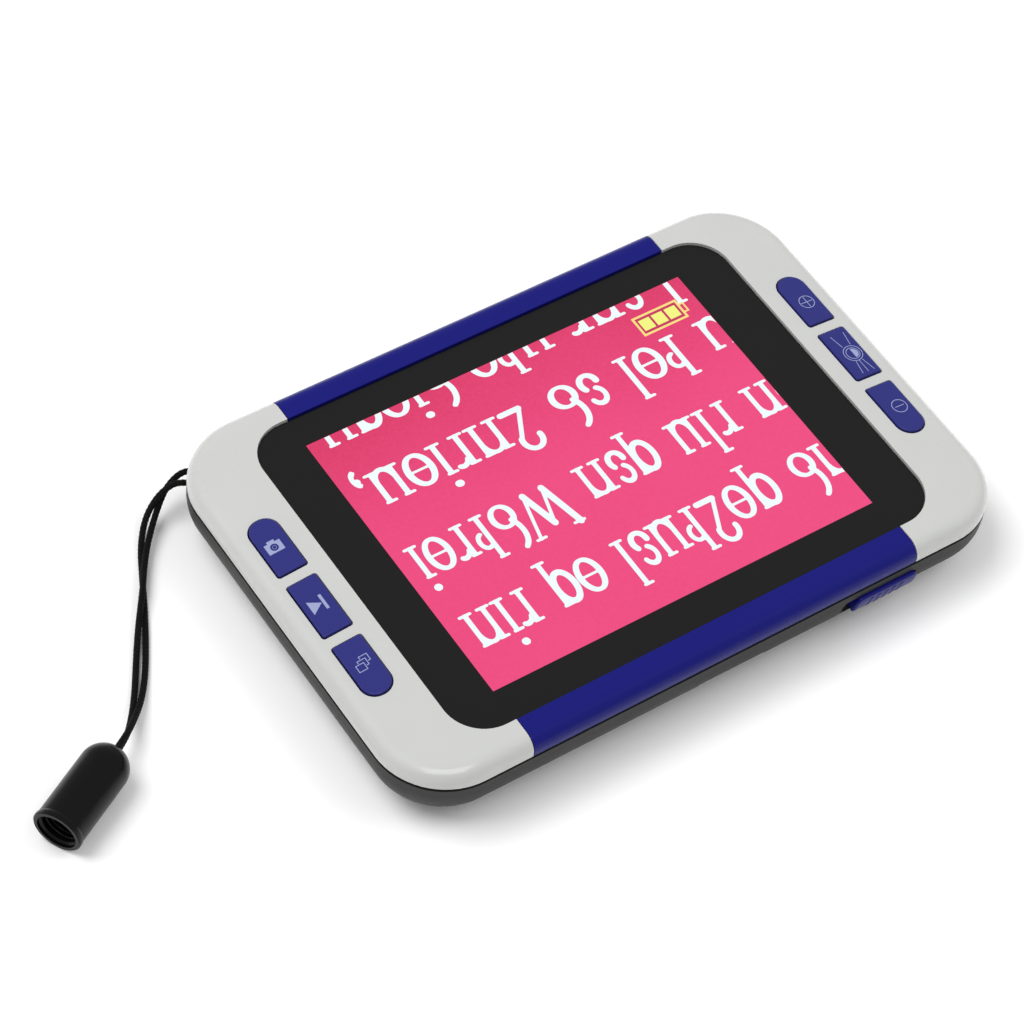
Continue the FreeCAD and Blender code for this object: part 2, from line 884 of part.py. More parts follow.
def rear_shell():
    """The back half of the case, with its bosses and everything that opens through it."""
    form = rear_form("rear_form", 0, size.back_low)
    floor = size.back_low + size.back_thick
    hollow = rear_form("rear_hollow", size.wall, floor)
    added = [cut("rear_walls", form, [hollow])]
    taken = []
    head_top = size.screw_head_low + size.screw_head_thick
    for n, (x, y) in enumerate(case_screw_places(), 1):
        height = size.boss_meet - floor + 1
        added.append(cylinder(f"rear_boss_{n}", size.boss_radius + 0.2, height, x, y, floor - 1))
        taken.append(cylinder(f"rear_sink_{n}", size.screw_head_radius + 0.25, head_top, x, y, 0))
        clear = size.screw_radius + 0.2
        taken.append(cylinder(f"rear_clear_{n}", clear, size.boss_meet, x, y, 1))
    for n, (x, y) in enumerate(board_screw_places(), 1):
        added.append(cylinder(f"board_boss_{n}", 2.4, size.board_low - floor + 1, x, y, floor - 1))
        taken.append(cylinder(f"board_pilot_{n}", size.small_screw_radius, 5, x, y, size.board_low - 5))
    for n, (x, y) in enumerate(foot_places(), 1):
        taken.append(cylinder(f"foot_bed_{n}", size.foot_radius + 0.1, size.foot_thick, x, y, 0))
    for n, side in enumerate((-1, 1), 1):
        rib_length = 60
        rib_y = size.body_width / 2 - size.wall - 0.9
        low_y = rib_y if side > 0 else -rib_y - 1.3
        root_height = size.rear_top - 11.05
        added.append(box(f"lip_root_{n}", -rib_length / 2, low_y, 11, rib_length, 1.3, root_height))
        tip_y = rib_y if side > 0 else -rib_y - 0.8
        added.append(box(f"lip_{n}", -rib_length / 2, tip_y, 13.5, rib_length, 0.8, 2.4))
    window_top = size.camera_window_low + size.camera_window_thick
    taken.append(
        plate(
            "camera_window_bed",
            size.camera_window_length + 0.3,
            size.camera_window_width + 0.3,
            (size.camera_window_width + 0.3) / 2 - 0.1,
            0,
            window_top,
            size.camera_x,
            size.camera_y,
        )
    )
    taken.append(cylinder("camera_hole", 4.4, 5, size.camera_x, size.camera_y, 0))
    for n, x in enumerate(led_places(), 1):
        taken.append(cylinder(f"led_hole_{n}", 1.9, 5, x, size.camera_y, 0))
    taken += buzzer_holes()
    port_block = box(
        "port_block", size.port_left - 1.5, size.port_face + 0.2, 4.1, size.port_length + 3, 2, 4.9
    )
    added.append(port_block)
    port_space = box(
        "port_space",
        size.port_left,
        size.port_face - 10,
        size.port_low,
        size.port_length,
        10,
        size.port_top - size.port_low,
    )
    taken.append(port_space)
    taken.append(box("usb_way", -5.7, size.port_face - 1, 4.2, 7.9, 12, 4.05))
    taken.append(box("av_way", 4.5, size.port_face - 1, 4.1, 6.6, 12, 4.15))
    slot = edge_sector(
        "slider_slot",
        7.6,
        13.5,
        size.knob_high_angle - 0.7,
        size.knob_low_angle + 0.7,
        size.knob_left - size.knob_travel - 0.3,
        size.knob_length + size.knob_travel + 0.6,
    )
    taken.append(rounded("slider_slot_round", slot, radial_edges, 1.8))
    housing = corner_box("lanyard_housing_box", 8, 18, 6, 5, 13)
    added.append(common("lanyard_housing", form, housing))
    taken.append(corner_box("lanyard_recess", 9.5, 22, 4.3, 6.5, 11.5))
    post_hole = cylinder("lanyard_post_hole", size.post_radius, 6.6)
    taken.append(at_corner(post_hole, size.post_reach, 0, 5.7))
    solid = fuse("rear_solid", added)
    node("rear_shell", cut("rear_shell_cut", solid, taken))


def buzzer_holes():
    """A ring of sound holes with one in its middle, under the buzzer."""
    places = [(0, 0)]
    for turn in range(6):
        angle = math.radians(60 * turn)
        places.append((3 * math.cos(angle), 3 * math.sin(angle)))
    return [
        cylinder(f"sound_hole_{n}", 0.6, 5, size.buzzer_x + x, size.buzzer_y + y, 0)
        for n, (x, y) in enumerate(places, 1)
    ]


def fasteners_and_feet():
    """The case screws and the feet, each kept as one group."""
    screws = []
    for n, (x, y) in enumerate(case_screw_places(), 1):
        low = size.screw_head_low
        head = cylinder(f"case_screw_head_{n}", size.screw_head_radius, size.screw_head_thick, x, y, low)
        drive = cylinder(f"case_screw_drive_{n}", 1.0, 1.0, x, y, low)
        shank = cylinder(f"case_screw_shank_{n}", size.screw_radius, size.screw_top - low, x, y, low)
        screws.append(cut(f"case_screw_{n}", fuse(f"case_screw_blank_{n}", [head, shank]), [drive]))
    node("case_screws", group("case_screw_set", screws))
    feet = [
        cylinder(f"foot_{n}", size.foot_radius, size.foot_thick, x, y, 0)
        for n, (x, y) in enumerate(foot_places(), 1)
    ]
    node("rubber_feet", group("feet", feet))


def electronics():
    """The main board, what sits on it, and the battery."""
    low = size.board_low
    top = low + size.board_thick
    length = size.board_right - size.board_left
    width = size.board_back - size.board_front
    board = plate(
        "main_board_sheet",
        length,
        width,
        2.0,
        low,
        size.board_thick,
        (size.board_right + size.board_left) / 2,
        (size.board_back + size.board_front) / 2,
    )
    holes = []
    screws = []
    for n, (x, y) in enumerate(board_screw_places(), 1):
        holes.append(cylinder(f"board_hole_{n}", size.small_screw_radius + 0.1, 4, x, y, low - 1))
        head = cylinder(
            f"board_screw_head_{n}", size.small_head_radius, size.small_head_thick, x, y, top
        )
        shank = cylinder(f"board_screw_shank_{n}", size.small_screw_radius, 5.5, x, y, top - 5)
        screws.append(fuse(f"board_screw_{n}", [head, shank]))
    node("main_board", cut("main_board_cut", board, holes))
    node("board_screws", group("board_screw_set", screws))
    node("shield_can", box("can", 20, -26, low - 1.8, 22, 22, 1.8))
    chips = [
        box("memory_chip", 45, -12, low - 1.2, 9, 9, 1.2),
        box("power_chip", -6, -24, low - 1.2, 6, 6, 1.2),
        box("charge_coil", 4, -26, low - 2.4, 6, 6, 2.4),
    ]
    node("board_chips", group("chips", chips))
    buzzer_height = 3.2
    node(
        "buzzer",
        cylinder("buzzer_can", 6, buzzer_height, size.buzzer_x, size.buzzer_y, low - buzzer_height),
    )
    battery = plate(
        "battery_cell",
        size.battery_length,
        size.battery_width,
        1.5,
        size.battery_low,
        size.battery_thick,
        size.battery_left + size.battery_length / 2,
        size.battery_front + size.battery_width / 2,
    )
    node("battery", battery)
    floor = size.back_low + size.back_thick
    tape = plate(
        "battery_foam",
        size.battery_length - 8,
        size.battery_width - 8,
        1.0,
        floor,
        size.battery_low - floor,
        size.battery_left + size.battery_length / 2,
        size.battery_front + size.battery_width / 2,
    )
    node("battery_tape", tape)


def ports():
    """The charging socket and the video jack, whose mouths open in the front edge."""
    mouth = size.port_face + 0.2
    shell = box("usb_shell", -5.6, mouth, 4.3, 7.7, 9.2, 3.9)
    inside = box("usb_inside", -5.2, mouth - 1, 4.7, 6.9, 8.7, 3.1)
    tongue = box("usb_tongue", -4.1, mouth + 0.6, 6.1, 4.7, 8, 0.7)
    node("usb_socket", fuse("usb", [cut("usb_frame", shell, [inside]), tongue]))
    along = Vector(1, 0, 0)
    block = box("av_block", 4.6, mouth, 4.2, 6.4, 9.6, 4.0)
    bore = cylinder("av_bore", 1.3, 9, 7.8, mouth - 0.5, 6.2, along, -90)
    node("video_jack", cut("av_cut", block, [bore]))


def camera():
    """The camera, the lamps beside it and the window over them."""
    x = size.camera_x
    y = size.camera_y
    window = plate(
        "camera_window_sheet",
        size.camera_window_length,
        size.camera_window_width,
        size.camera_window_width / 2 - 0.1,
        size.camera_window_low,
        size.camera_window_thick,
        x,
        y,
    )
    node("camera_window", window)
    board_low = size.camera_board_low
    node("camera_board", plate("sensor_board", 16, 16, 1.0, board_low, 0.8, x, y))
    plug_low = board_low + 0.8
    node("camera_plug", box("sensor_plug", x - 5, y - 2, plug_low, 10, 4, size.board_low - plug_low))
    base = plate("holder_base", 11, 11, 1.0, 4.6, board_low - 4.6, x, y)
    tube_part = cylinder("holder_tube", 4.1, 3, x, y, 2.6)
    bore = cylinder("holder_bore", 3.25, 6, x, y, 2)
    node("lens_holder", cut("holder_cut", fuse("holder_solid", [base, tube_part]), [bore]))
    barrel = cylinder("barrel_body", 3.2, 3.8, x, y, 2.1)
    eye = cone("barrel_eye", 2.7, 1.6, 1.2, x, y, 2.1)
    sight = cylinder("barrel_sight", 1.6, 6, x, y, 2.1)
    node("lens_barrel", cut("barrel_cut", barrel, [eye, sight]))
    node("camera_lens", cylinder("eye_glass", 1.6, 1.0, x, y, 3.4))
    led_low = size.led_board_low
    strip = plate("led_sheet", 40, 11, 2.0, led_low, 1.0, x, y)
    hole = cylinder("led_sheet_hole", 4.5, 3, x, y, led_low - 1)
    node("led_board", cut("led_sheet_cut", strip, [hole]))
    lamps = [
        cylinder(f"led_{n}", 1.5, 1.1, lamp_x, y, led_low - 1.1)
        for n, lamp_x in enumerate(led_places(), 1)
    ]
    node("leds", group("led_set", lamps))


def power_slider():
    """The knob in the front edge, with its retaining flange and fork, and the switch behind."""
    outer = size.back_round + size.knob_proud
    left = size.knob_left
    grip = edge_sector(
        "knob_grip",
        8.15,
        outer,
        size.knob_high_angle,
        size.knob_low_angle,
        left,
        size.knob_length,
    )
    grip = rounded("knob_grip_corners", grip, radial_edges, 1.7)
    grip = rounded("knob_grip_round", grip, outer_edges, 0.55)
    parts = [grip, edge_sector("knob_flange", 7.0, 8.25, -6, 42, left - 1.2, size.knob_length + 2.4)]
    mid = left + size.knob_length / 2
    for n, sign in enumerate((-1, 1), 1):
        near = mid - 2.0 if sign < 0 else mid + 0.8
        parts.append(box(f"knob_fork_{n}", near, -48.6, 6.4, 1.2, 2.2, 1.5))
    rib_pitch = 2.1
    for n in range(5):
        x = mid + (n - 2) * rib_pitch - 0.35
        rib = edge_sector(
            f"knob_rib_{n + 1}",
            outer - 0.3,
            outer + 0.08,
            size.knob_high_angle + 7,
            size.knob_low_angle - 6,
            x,
            0.7,
        )
        parts.append(rib)
    node("power_slider", fuse("knob", parts))
    lever = box("lever", mid - 0.7, -47.7, 6.5, 1.4, 3.5, 1.2)
    node("switch_lever", lever)
    switch = box("switch_case", mid - 7, -45.6, 4.6, 11.6, 4, size.board_low - 4.6)
    room = box(
        "switch_room",
        mid - 0.9 - size.knob_travel,
        -46,
        6.35,
        1.8 + size.knob_travel,
        2,
        1.5,
    )
    node("slide_switch", cut("switch_cut", switch, [room]))


# The lanyard


def path_wire(points, name):
    """Straight runs joined by tangent arcs, each as large as its two runs allow."""
    share = 0.45
    edges = []
    radii = []
    last = points[0]
    for before, here, after in zip(points, points[1:], points[2:]):
        back = (before - here).normalize()
        ahead = (after - here).normalize()
        reach = share * min((here - before).Length, (after - here).Length)
        turn = math.pi - back.getAngle(ahead)
        radius = reach / math.tan(turn / 2)
        radii.append(radius)
        start = here + back * reach
        end = here + ahead * reach
        inward = (back + ahead).normalize()
        centre = here + inward * (radius / math.cos(turn / 2))
        edges.append(Part.LineSegment(last, start).toShape())
        edges.append(Part.Arc(start, centre - inward * radius, end).toShape())
        last = end
    edges.append(Part.LineSegment(last, points[-1]).toShape())
    print(name, "radii", [round(radius, 1) for radius in radii])
    return Part.Wire(edges)


def tube(name, points):
    """A round cord along a path."""
    wire = path_wire(points, name)
    radius = size.cord_radius.value
    disc = Part.Wire(Part.Circle(points[0], points[1] - points[0], radius).toShape())
    thing = doc.addObject("Part::Feature", name)
    thing.Shape = wire.makePipeShell([disc], True, False)
    section = math.pi * radius**2
    print(name, "length", round(wire.Length, 1), "volume", round(thing.Shape.Volume, 2))
    print(name, "section times length", round(section * wire.Length, 2))
    return thing


def lanyard():
    """A loop of cord round a post in the corner, and the screw cap that its ends are tied in."""
    post = at_corner(cylinder("post", size.post_radius, 6.4), size.post_reach, 0, 5.8)
    node("lanyard_post", post)
    bight = doc.addObject("Part::Torus", "bight")
    bind(bight, "Radius1", size.bight_radius)
    bind(bight, "Radius2", size.cord_radius)
    bight.Angle3 = 180
    at_corner(bight, size.post_reach, 0, size.lanyard_high)
    turn = size.lanyard_angle.value
    spot = bight.Placement.Base
    bight.Placement = Placement(spot, Rotation(Vector(0, 0, 1), turn + 90))
    node("lanyard_bight", bight)
    out = Vector(math.cos(math.radians(turn)), math.sin(math.radians(turn)), 0)
    across = Vector(-out.y, out.x, 0)
    corner = Vector(
        size.corner_radius.value - size.body_length.value / 2,
        size.body_width.value / 2 - size.corner_radius.value,
        size.lanyard_high.value,
    )
    post_at = corner + out * size.post_reach.value
    cap_turn = math.radians(size.cap_turn.value)
    inward = Vector(math.cos(cap_turn), math.sin(cap_turn), 0)
    mouth = Vector(size.cap_mouth_x.value, size.cap_mouth_y.value, size.cap_lip_radius.value)
    tied = mouth + inward * (size.cap_chamber_end.value - 0.3)
    for label, side, lead, route in (("a", -1, LEAD_A, STRAND_A), ("b", 1, LEAD_B, STRAND_B)):
        start = post_at + across * (side * size.bight_radius.value)
        points = [start, start + out * lead]
        points += [Vector(*point) for point in route]
        points.append(tied + Vector(0, 0, side * (size.cord_radius.value + 0.05)))
        node(f"lanyard_strand_{label}", tube(f"strand_{label}", points))
    knot = doc.addObject("Part::Sphere", "knot")
    bind(knot, "Radius", size.knot_radius)
    knot_at = mouth + inward * (size.cap_chamber_end.value - size.knot_radius.value)
    knot.Placement = Placement(knot_at, Rotation())
    node("lanyard_knot", knot)
    node("lanyard_cap", cap())


def cap():
    """The screw cap: a bullet-shaped cup with a lip at its mouth, lying on its side."""
    body = doc.addObject("PartDesign::Body", "cap")
    sketch = body.newObject("Sketcher::SketchObject", "cap_profile")
    sketch.AttachmentSupport = [(origin_plane(body, "XZ_Plane"), "")]
    sketch.MapMode = "FlatFace"
    length = size.cap_length.value
    radius = size.cap_radius.value
    lip = size.cap_lip_radius.value
    lip_end = size.cap_lip_length.value
    mouth = size.cap_mouth_radius.value
    bore = size.cap_bore_radius.value
    bore_start = 1.2
    bore_end = bore_start + size.cap_bore_length.value
    chamber = size.cap_chamber_radius.value
    chamber_end = size.cap_chamber_end.value
    hole = size.cap_hole_radius.value
    dome = length - radius
    dome_end = Vector(dome + math.sqrt(radius**2 - hole**2), hole, 0)
    inner = [
        dome_end,
        Vector(chamber_end, hole, 0),
        Vector(chamber_end, chamber, 0),
        Vector(bore_end, chamber, 0),
        Vector(bore_end, bore, 0),
        Vector(bore_start, bore, 0),
        Vector(bore_start - (mouth - bore), mouth, 0),
        Vector(0, mouth, 0),
        Vector(0, lip - 0.3, 0),
        Vector(0.3, lip, 0),
        Vector(lip_end, lip, 0),
        Vector(lip_end + 0.6, radius, 0),
        Vector(dome, radius, 0),
    ]
    for here, there in zip(inner, inner[1:]):
        sketch.addGeometry(Part.LineSegment(here, there), False)
    circle = Part.Circle(Vector(dome, 0, 0), Vector(0, 0, 1), radius)
    sketch.addGeometry(Part.ArcOfCircle(circle, math.asin(hole / radius), math.pi / 2), False)
    arc = len(inner) - 1
    for line in range(arc - 1):
        sketch.addConstraint(Sketcher.Constraint("Coincident", line, 2, line + 1, 1))
    sketch.addConstraint(Sketcher.Constraint("Coincident", arc - 1, 2, arc, 2))
    sketch.addConstraint(Sketcher.Constraint("Coincident", arc, 1, 0, 1))
    turned = body.newObject("PartDesign::Revolution", "cap_turned")
    turned.Profile = sketch
    turned.ReferenceAxis = (sketch, ["H_Axis"])
    turned.Angle = 360
    sketch.Visibility = False
    turn = Rotation(Vector(0, 0, 1), size.cap_turn.value)
    body.Placement = Placement(Vector(), turn)
    return place(body, size.cap_mouth_x, size.cap_mouth_y, size.cap_lip_radius)


front_low = size.rear_top + size.parting_gap
front_shell()
trims()
screen()
keys()
rear_shell()
fasteners_and_feet()
electronics()
ports()
camera()
power_slider()
lanyard()
doc.recompute()

for thing in doc.Objects:
    if "Invalid" in thing.State or "Error" in thing.State:
        raise RuntimeError(f"{thing.Name} ({thing.Label}) failed: {thing.State}")
for label, thing in nodes.items():
    if thing.Shape.isNull() or not thing.Shape.isValid() or not thing.Shape.Solids:
        raise RuntimeError(f"{label} has no valid shape")

os.makedirs("parts", exist_ok=True)
for label, thing in nodes.items():
    thing.Shape.exportStep(f"parts/{label}.step")
print(len(nodes), "sub-parts")
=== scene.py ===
import math

import bpy
from mathutils import Matrix, Vector


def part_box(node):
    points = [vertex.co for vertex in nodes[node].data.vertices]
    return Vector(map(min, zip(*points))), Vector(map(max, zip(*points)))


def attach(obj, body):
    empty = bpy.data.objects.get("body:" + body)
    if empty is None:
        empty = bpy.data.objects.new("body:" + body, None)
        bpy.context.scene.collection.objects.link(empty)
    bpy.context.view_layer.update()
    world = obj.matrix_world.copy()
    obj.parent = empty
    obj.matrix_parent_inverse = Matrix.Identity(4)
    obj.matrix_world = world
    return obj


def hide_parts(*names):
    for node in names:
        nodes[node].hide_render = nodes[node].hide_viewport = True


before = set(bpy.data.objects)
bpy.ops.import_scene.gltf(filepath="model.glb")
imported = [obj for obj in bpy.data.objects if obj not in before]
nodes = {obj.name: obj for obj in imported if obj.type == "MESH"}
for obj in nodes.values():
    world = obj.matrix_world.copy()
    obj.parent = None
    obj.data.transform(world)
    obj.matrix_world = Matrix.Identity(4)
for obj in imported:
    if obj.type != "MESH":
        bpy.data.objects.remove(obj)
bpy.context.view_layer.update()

# A hand-held electronic magnifier for low vision, lying on its feet. Everything is in metres in the
# frame of the CAD parts: +X to the viewer's right, +Y away and +Z up, with the soles at zero.

MM = 0.001


# The camera

CAMERA_LENS = 125.53
CAMERA_SENSOR = 36.0
CAMERA_PLACE = Vector((-328.07, -369.25, 643.97)) * MM
CAMERA_AIM = Vector((-12.23, 11.39, 0)) * MM
CAMERA_ROLL = math.radians(7.914)


def aim_camera():
    """A long lens, held a little askew, that looks down on the object from the front left."""
    data = bpy.data.cameras.new("camera")
    data.lens = CAMERA_LENS
    data.sensor_width = CAMERA_SENSOR
    data.clip_start = 0.01
    camera = bpy.data.objects.new("camera", data)
    bpy.context.scene.collection.objects.link(camera)
    level = (CAMERA_AIM - CAMERA_PLACE).to_track_quat("-Z", "Y").to_matrix().to_4x4()
    roll = Matrix.Rotation(CAMERA_ROLL, 4, "Z")
    camera.matrix_world = Matrix.Translation(CAMERA_PLACE) @ level @ roll
    bpy.context.scene.camera = camera


aim_camera()
bpy.context.scene.view_settings.view_transform = "Standard"

# Meshes


def add_mesh(name, verts, faces, smooth=False):
    """A mesh object from corners in metres and faces."""
    mesh = bpy.data.meshes.new(name)
    mesh.from_pydata(verts, [], faces)
    mesh.update()
    for polygon in mesh.polygons:
        polygon.use_smooth = smooth
    piece = bpy.data.objects.new(name, mesh)
    bpy.context.scene.collection.objects.link(piece)
    return piece


def join(name, shapes, smooth=False):
    """One mesh object from several lists of corners and faces."""
    verts = []
    faces = []
    for part_verts, part_faces in shapes:
        start = len(verts)
        verts += part_verts
        faces += [tuple(start + corner for corner in face) for face in part_faces]
    return add_mesh(name, verts, faces, smooth)


def sweep(points, frames, section):
    """A tube: the section, a list of (a, b), carried along points with frames of two directions."""
    count = len(section)
    verts = []
    for point, (first, second) in zip(points, frames):
        verts += [point + first * a + second * b for a, b in section]
    faces = []
    for turn in range(len(points) - 1):
        for corner in range(count):
            after = (corner + 1) % count
            low = turn * count
            high = low + count
            faces.append((low + corner, low + after, high + after, high + corner))
    faces.append(tuple(reversed(range(count))))
    faces.append(tuple(range(len(verts) - count, len(verts))))
    return verts, faces


# The lanyard: two strands of thin braided cord from the corner to the cap

CORD_DIAMETER = 1.4 * MM
CORE_RADIUS = 0.47 * CORD_DIAMETER
STRAND_SPACE = 0.05 * MM
LANYARD_TURN = math.radians(127)
CORNER = Vector((-63.3, 36.85, 9.0)) * MM
POST_REACH = 13.4 * MM
BIGHT = 1.95 * MM
CAP_TURN = math.radians(28.5)
CAP_MOUTH = Vector((-144.15, -14.7, 5.85)) * MM
TIED_AT = 19.2 * MM
LEAD = 5.3 * MM
STRAND_A = [
    (-78.7, 52.8, 6.1),
    (-84.1, 48.5, 3.4),
    (-88.8, 43.5, 2.2),
    (-92.8, 38.2, 2.35),
    (-96.8, 31.9, 2.5),
    (-101.5, 25.5, 1.7),
    (-106.2, 18.3, 0.9),
    (-110.8, 10.8, 0.9),
    (-115.4, 4.2, 2.2),
    (-120.3, -1.7, 4.9),
]
STRAND_B = [
    (-81.2, 51.0, 7.3),
    (-85.9, 49.6, 3.1),
    (-90.2, 44.4, 1.0),
    (-94.0, 37.0, 0.75),
    (-98.0, 28.9, 0.75),
    (-102.3, 20.9, 0.75),
    (-106.6, 13.6, 0.8),
    (-110.9, 7.7, 1.8),
    (-115.2, 3.1, 3.8),
    (-120.2, -1.7, 6.5),
]

out_of_corner = Vector((math.cos(LANYARD_TURN), math.sin(LANYARD_TURN), 0))
across_corner = Vector((-out_of_corner.y, out_of_corner.x, 0))
cap_along = Vector((math.cos(CAP_TURN), math.sin(CAP_TURN), 0))
cap_across = Vector((-cap_along.y, cap_along.x, 0))


def strand_points(side, route):
    """The route of one strand: straight out of the corner, along the route and into the knot."""
    start = CORNER + out_of_corner * POST_REACH + across_corner * (side * BIGHT)
    points = [start, start + out_of_corner * LEAD]
    points += [Vector(point) * MM for point in route]
    tied = CAP_MOUTH + cap_along * TIED_AT
    points.append(tied + Vector((0, 0, side * (CORD_DIAMETER / 2 + STRAND_SPACE))))
    return points


def route_curve(name, points):
    """The smooth curve of a strand. Its thickness is in the radius of its points."""
    data = bpy.data.curves.new(name, "CURVE")
    data.dimensions = "3D"
    data.resolution_u = 24
    spline = data.splines.new("NURBS")
    spline.points.add(len(points) - 1)
    for knot, point in zip(spline.points, points):
        knot.co = (*point, 1)
        knot.radius = CORE_RADIUS
    spline.order_u = 3
    spline.use_endpoint_u = True
    return bpy.data.objects.new(name, data)


def cord_core(name, points):
    """The round middle of a strand."""
    core = route_curve(name, points)
    core.data.bevel_depth = 1.0
    core.data.bevel_resolution = 3
    core.data.use_fill_caps = True
    bpy.context.scene.collection.objects.link(core)
    return core


def smooth_path(points, step):
    """Points about every step along the curve of a strand, read from it, and its length."""
    bare = route_curve("bare_strand", points)
    mesh = bpy.data.meshes.new_from_object(bare)
    line = [vertex.co.copy() for vertex in mesh.vertices]
    bpy.data.meshes.remove(mesh)
    bpy.data.curves.remove(bare.data)
    lengths = [0.0]
    for a, b in zip(line, line[1:]):
        lengths.append(lengths[-1] + (b - a).length)
    count = int(lengths[-1] / step)
    path = []
    place = 0
    for number in range(count + 1):
        goal = lengths[-1] * number / count
        while place < len(line) - 2 and lengths[place + 1] < goal:
            place += 1
        share = (goal - lengths[place]) / max(lengths[place + 1] - lengths[place], 1e-12)
        path.append(line[place].lerp(line[place + 1], min(share, 1.0)))
    return path, lengths[-1]


def path_frames(path):
    """Two directions across a path at each of its points, carried along without twisting."""
    frames = []
    normal = Vector((0, 0, 1))
    for number in range(len(path)):
        before = path[max(number - 1, 0)]
        after = path[min(number + 1, len(path) - 1)]
        along = (after - before).normalized()
        normal = (normal - along * normal.dot(along)).normalized()
        frames.append((normal, along.cross(normal), along))
    return frames


YARNS = 4
YARN_PITCH = 4.2 * MM
YARN_WIDTH = 0.62 * MM
YARN_THICK = 0.18 * MM
YARN_SIDES = 6
YARN_STEPS = 24
YARN_REACH = 0.9 * CORD_DIAMETER / 2
WEAVE_DEPTH = 0.045 * MM


def braid(name, points):
    """The woven cover of a strand: flat yarns that run both ways and cross over and under."""
    path, length = smooth_path(points, YARN_PITCH / YARN_STEPS)
    frames = path_frames(path)
    step = length / (len(path) - 1)
    sides = [math.tau * n / YARN_SIDES for n in range(YARN_SIDES)]
    section = [(YARN_WIDTH / 2 * math.cos(a), YARN_THICK / 2 * math.sin(a)) for a in sides]
    shapes = []
    for way in (-1, 1):
        for yarn in range(YARNS):
            centres = []
            directions = []
            for number, (point, (first, second, along)) in enumerate(zip(path, frames)):
                turns = number * step / YARN_PITCH
                angle = way * math.tau * turns + math.tau * yarn / YARNS
                weave = math.cos(math.tau * turns * YARNS) * way
                reach = YARN_REACH + WEAVE_DEPTH * weave
                radial = first * math.cos(angle) + second * math.sin(angle)
                sideways = second * math.cos(angle) - first * math.sin(angle)
                slope = way * math.tau * reach / YARN_PITCH
                flat = (sideways - along * slope).normalized()
                centres.append(point + radial * reach)
                directions.append((flat, radial))
            shapes.append(sweep(centres, directions, section))
    return join(name, shapes, smooth=True), length


strand_lists = {
    "a": strand_points(-1, STRAND_A),
    "b": strand_points(1, STRAND_B),
}
strands = {}
braids = {}
for label, points in strand_lists.items():
    strands[label] = cord_core(f"cord_{label}", points)
    braids[label], cord_length = braid(f"cord_{label}_braid", points)
    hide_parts(f"lanyard_strand_{label}")
    for piece in (strands[label], braids[label]):
        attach(piece, "case")
    strands[label]["length"] = cord_length

THREAD_PITCH = 1.05 * MM
THREAD_START = 1.6 * MM
THREAD_TURNS = 8
THREAD_ROOT = 4.33 * MM
THREAD_CREST = 3.95 * MM
THREAD_FOOT = 0.4 * MM
THREAD_TIP = 0.22 * THREAD_FOOT
THREAD_STEPS = 48
THREAD_FADE = 14


def cap_thread():
    """The screw thread inside the mouth of the cap: a ridge that winds in along the bore."""
    up = Vector((0, 0, 1))
    count = THREAD_STEPS * THREAD_TURNS
    verts = []
    for number in range(count + 1):
        angle = math.tau * number / THREAD_STEPS
        fade = min(1.0, number / THREAD_FADE, (count - number) / THREAD_FADE)
        along = THREAD_START + THREAD_PITCH * number / THREAD_STEPS
        radial = cap_across * math.cos(angle) + up * math.sin(angle)
        crest = THREAD_ROOT + (THREAD_CREST - THREAD_ROOT) * max(fade, 0.02)
        for reach, shift in (
            (THREAD_ROOT, -THREAD_FOOT),
            (crest, -THREAD_TIP),
            (crest, THREAD_TIP),
            (THREAD_ROOT, THREAD_FOOT),
        ):
            verts.append(CAP_MOUTH + cap_along * (along + shift) + radial * reach)
    faces = []
    for number in range(count):
        low = number * 4
        for corner in range(4):
            after = (corner + 1) % 4
            faces.append((low + corner, low + 4 + corner, low + 4 + after, low + after))
    faces.append((0, 1, 2, 3))
    faces.append((count * 4 + 3, count * 4 + 2, count * 4 + 1, count * 4))
    return add_mesh("cap_thread", verts, faces, smooth=True)


thread = cap_thread()
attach(thread, "case")

# Materials


def linear(red, green, blue):
    """A colour given as it looks on a screen, from 0 to 255, in the light's own units."""
    values = []
    for value in (red, green, blue):
        share = value / 255
        values.append(share / 12.92 if share <= 0.04045 else ((share + 0.055) / 1.055) ** 2.4)
    return (*values, 1.0)


def add_node(tree, kind, **inputs):
    """A shader node with some of its inputs set. A space in an input's name is written as _."""
    made = tree.nodes.new(kind)
    for name, value in inputs.items():
        made.inputs[name.replace("_", " ")].default_value = value
    return made


